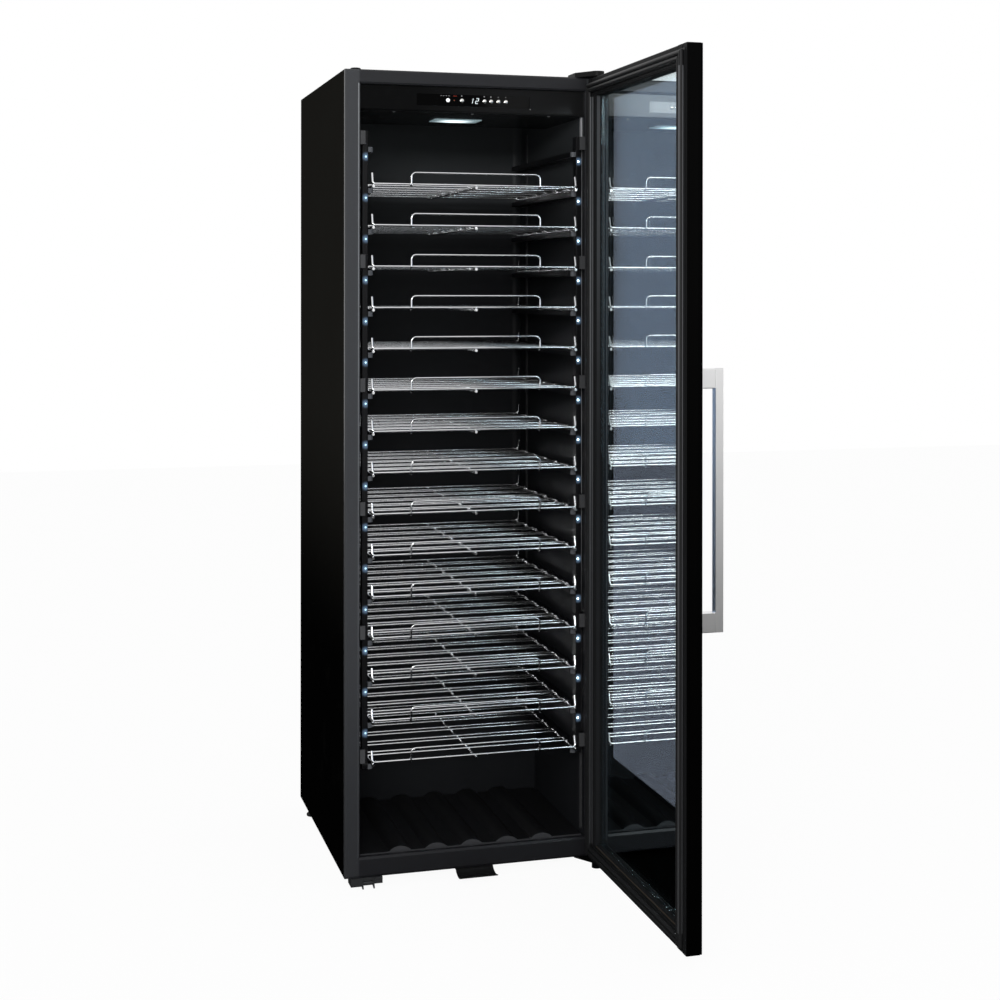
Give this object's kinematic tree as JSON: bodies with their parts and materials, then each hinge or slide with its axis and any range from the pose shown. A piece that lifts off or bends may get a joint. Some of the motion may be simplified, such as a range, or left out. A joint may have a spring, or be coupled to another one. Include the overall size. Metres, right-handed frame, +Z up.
{
  "type": "wine cooler",
  "caption": "Tall black wine cooler, glass door hung on the right and open at a right angle, steel bar handle, sliding wire shelves, control panel with push buttons and a bottle tray.",
  "frame": {"origin": "on the floor, below the middle of the cabinet's front face", "axes": "+X to the right of a person who faces the cooler, +Y to the back, +Z up"},
  "size_m": [0.6545, 1.2516, 1.831],
  "materials": {
    "cabinet_steel": "satin",
    "rear_steel": "satin",
    "frame_paint": "satin",
    "liner_plastic": "satin",
    "foam": "matte",
    "panel_plastic": "satin",
    "window_plastic": "gloss",
    "circuit_board": "satin",
    "lamp_lens": "gloss",
    "screw_steel": "satin",
    "rail_grey": "satin",
    "block_grey": "satin",
    "ladder_plastic": "satin",
    "tray_plastic": "satin",
    "compressor_black": "gloss",
    "rubber": "matte",
    "condenser_black": "satin",
    "copper": "satin",
    "plate_aluminium": "satin",
    "black_plastic": "matte",
    "hinge_steel": "satin",
    "keeper_steel": "satin",
    "door_plastic": "satin",
    "tinted_glass": "gloss",
    "clear_glass": "gloss",
    "handle_steel": "satin",
    "bush_plastic": "satin",
    "button_chrome": "polished",
    "wire_chrome": "polished"
  },
  "bodies": {
    "cabinet": {"outer_panels": "cabinet_steel", "rear_panel": "rear_steel", "base_pan": "cabinet_steel", "inner_liner": "liner_plastic", "insulation_panels": "foam", "front_frame": "frame_paint", "control_housing": "panel_plastic", "control_window": "window_plastic", "display_board": "circuit_board", "ceiling_lamp": "lamp_lens", "screws": "screw_steel", "side_rails": "rail_grey", "rail_blocks": "block_grey", "shelf_ledges": "ladder_plastic", "led_lights": "lamp_lens", "floor_tray": "tray_plastic", "compressor": "compressor_black", "compressor_mounts": "rubber", "condenser": "condenser_black", "evaporation_tray": "tray_plastic", "refrigerant_pipes": "copper", "evaporator": "plate_aluminium", "power_inlet": "black_plastic", "top_hinge": "hinge_steel", "top_hinge_cover": "black_plastic", "bottom_hinge": "hinge_steel", "hole_cap": "black_plastic", "front_foot_block": "black_plastic", "feet": "black_plastic", "lock_keeper": "keeper_steel"},
    "door": {"door_frame": "door_plastic", "outer_glass": "tinted_glass", "inner_glass": "clear_glass", "glass_spacer": "plate_aluminium", "door_gasket": "rubber", "handle_bar": "handle_steel", "handle_posts": "handle_steel", "handle_bolts": "screw_steel", "hinge_bushes": "bush_plastic"},
    "power_button": {"power_button": "button_chrome"},
    "set_button": {"set_button": "button_chrome"},
    "light_button": {"light_button": "button_chrome"},
    "unit_button": {"unit_button": "button_chrome"},
    "up_button": {"up_button": "button_chrome"},
    "down_button": {"down_button": "button_chrome"},
    "shelf_1": {"shelf_1": "wire_chrome"},
    "shelf_2": {"shelf_2": "wire_chrome"},
    "shelf_3": {"shelf_3": "wire_chrome"},
    "shelf_4": {"shelf_4": "wire_chrome"},
    "shelf_5": {"shelf_5": "wire_chrome"},
    "shelf_6": {"shelf_6": "wire_chrome"},
    "shelf_7": {"shelf_7": "wire_chrome"},
    "shelf_8": {"shelf_8": "wire_chrome"},
    "shelf_9": {"shelf_9": "wire_chrome"},
    "shelf_10": {"shelf_10": "wire_chrome"},
    "shelf_11": {"shelf_11": "wire_chrome"},
    "shelf_12": {"shelf_12": "wire_chrome"},
    "shelf_13": {"shelf_13": "wire_chrome"},
    "shelf_14": {"shelf_14": "wire_chrome"},
    "shelf_15": {"shelf_15": "wire_chrome"}
  },
  "joints": [
    {"name": "door_hinge", "type": "hinge", "parent": "cabinet", "child": "door", "pos_m": [0.28165, -0.02865, 0], "axis": [0, 0, 1], "range_deg": [-90, 20]},
    {"name": "shelf_1_slide", "type": "slide", "parent": "cabinet", "child": "shelf_1", "axis": [0, -1, 0], "range_m": [0, 0.25]},
    {"name": "shelf_2_slide", "type": "slide", "parent": "cabinet", "child": "shelf_2", "axis": [0, -1, 0], "range_m": [0, 0.25]},
    {"name": "shelf_3_slide", "type": "slide", "parent": "cabinet", "child": "shelf_3", "axis": [0, -1, 0], "range_m": [0, 0.25]},
    {"name": "shelf_4_slide", "type": "slide", "parent": "cabinet", "child": "shelf_4", "axis": [0, -1, 0], "range_m": [0, 0.25]},
    {"name": "shelf_5_slide", "type": "slide", "parent": "cabinet", "child": "shelf_5", "axis": [0, -1, 0], "range_m": [0, 0.25]},
    {"name": "shelf_6_slide", "type": "slide", "parent": "cabinet", "child": "shelf_6", "axis": [0, -1, 0], "range_m": [0, 0.25]},
    {"name": "shelf_7_slide", "type": "slide", "parent": "cabinet", "child": "shelf_7", "axis": [0, -1, 0], "range_m": [0, 0.25]},
    {"name": "shelf_8_slide", "type": "slide", "parent": "cabinet", "child": "shelf_8", "axis": [0, -1, 0], "range_m": [0, 0.25]},
    {"name": "shelf_9_slide", "type": "slide", "parent": "cabinet", "child": "shelf_9", "axis": [0, -1, 0], "range_m": [0, 0.25]},
    {"name": "shelf_10_slide", "type": "slide", "parent": "cabinet", "child": "shelf_10", "axis": [0, -1, 0], "range_m": [0, 0.25]},
    {"name": "shelf_11_slide", "type": "slide", "parent": "cabinet", "child": "shelf_11", "axis": [0, -1, 0], "range_m": [0, 0.25]},
    {"name": "shelf_12_slide", "type": "slide", "parent": "cabinet", "child": "shelf_12", "axis": [0, -1, 0], "range_m": [0, 0.25]},
    {"name": "shelf_13_slide", "type": "slide", "parent": "cabinet", "child": "shelf_13", "axis": [0, -1, 0], "range_m": [0, 0.25]},
    {"name": "shelf_14_slide", "type": "slide", "parent": "cabinet", "child": "shelf_14", "axis": [0, -1, 0], "range_m": [0, 0.25]},
    {"name": "shelf_15_slide", "type": "slide", "parent": "cabinet", "child": "shelf_15", "axis": [0, -1, 0], "range_m": [0, 0.25]},
    {"name": "power_press", "type": "slide", "parent": "cabinet", "child": "power_button", "axis": [0, 1, 0], "range_m": [0, 0.001], "stiffness_N_per_m": 400},
    {"name": "set_press", "type": "slide", "parent": "cabinet", "child": "set_button", "axis": [0, 1, 0], "range_m": [0, 0.001], "stiffness_N_per_m": 400},
    {"name": "light_press", "type": "slide", "parent": "cabinet", "child": "light_button", "axis": [0, 1, 0], "range_m": [0, 0.001], "stiffness_N_per_m": 400},
    {"name": "unit_press", "type": "slide", "parent": "cabinet", "child": "unit_button", "axis": [0, 1, 0], "range_m": [0, 0.001], "stiffness_N_per_m": 400},
    {"name": "up_press", "type": "slide", "parent": "cabinet", "child": "up_button", "axis": [0, 1, 0], "range_m": [0, 0.001], "stiffness_N_per_m": 400},
    {"name": "down_press", "type": "slide", "parent": "cabinet", "child": "down_button", "axis": [0, 1, 0], "range_m": [0, 0.001], "stiffness_N_per_m": 400}
  ]
}
